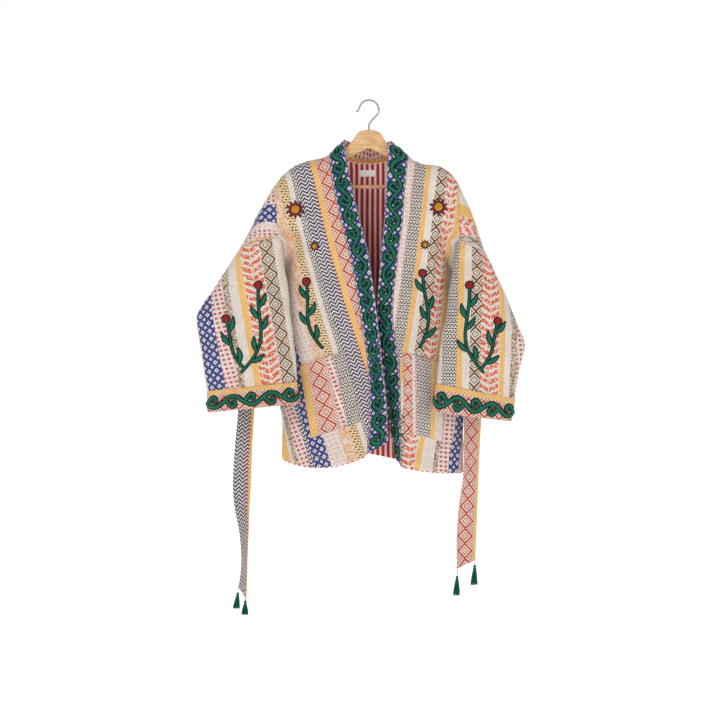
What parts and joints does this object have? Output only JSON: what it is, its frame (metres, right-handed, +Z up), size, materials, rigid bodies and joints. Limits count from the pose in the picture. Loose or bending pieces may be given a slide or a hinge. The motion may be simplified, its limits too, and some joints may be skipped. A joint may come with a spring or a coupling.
{
  "type": "kimono cardigan on a wooden hanger",
  "caption": "Hip-length open-front kimono jacket with wide sleeves, neck band, patch pockets and a long tie belt, hanging on a wooden clothes hanger.",
  "frame": {"origin": "underside of the hook's arch, where it bears on a rail, in the hanger's middle plane", "axes": "+Z up, -Y towards the jacket's front, +X to the right as seen from the front"},
  "size_m": [0.7807, 0.1698, 1.2512],
  "materials": {
    "striped_cloth": "woven stripes of small patterns on off-white",
    "cuff_cloth": "woven orange lattice",
    "band_cloth": "woven blue and white diamonds",
    "lining": "red and cream striped lining",
    "label": "plain woven tape",
    "belt_cloth": "woven orange and navy patterns",
    "tassel": "dark green silky thread",
    "green_embroidery": "padded dark green chenille stitching with a black edge",
    "gold_embroidery": "padded gold and dark red stitching",
    "wood": "clear satin varnish on pale pine",
    "wire": "nickel-plated wire"
  },
  "bodies": {
    "root": {"front_left": "striped_cloth", "front_right": "striped_cloth", "back": "striped_cloth", "sleeve_head_left": "striped_cloth", "sleeve_head_right": "striped_cloth", "sleeve_left": "striped_cloth", "sleeve_right": "striped_cloth", "pocket_left": "striped_cloth", "pocket_right": "striped_cloth", "belt_loop_left": "striped_cloth", "belt_loop_right": "striped_cloth", "cuff_left": "cuff_cloth", "cuff_right": "cuff_cloth", "neck_band": "band_cloth", "back_lining": "lining", "label": "label", "belt": "belt_cloth", "tassel_left_a": "tassel", "tassel_left_b": "tassel", "tassel_right_a": "tassel", "tassel_right_b": "tassel", "hanger_wood": "wood", "hanger_bar": "wood", "hanger_hook": "wire", "scroll_band_left": "green_embroidery", "scroll_band_right": "green_embroidery", "scroll_cuff_left": "green_embroidery", "scroll_cuff_right": "green_embroidery", "sprig_sleeve_left": "green_embroidery", "sprig_front_left": "green_embroidery", "sprig_front_right": "green_embroidery", "sprig_sleeve_right": "green_embroidery", "rosette_left_large": "gold_embroidery", "rosette_left_small": "gold_embroidery", "rosette_right_large": "gold_embroidery", "rosette_right_small": "gold_embroidery"}
  },
  "joints": []
}
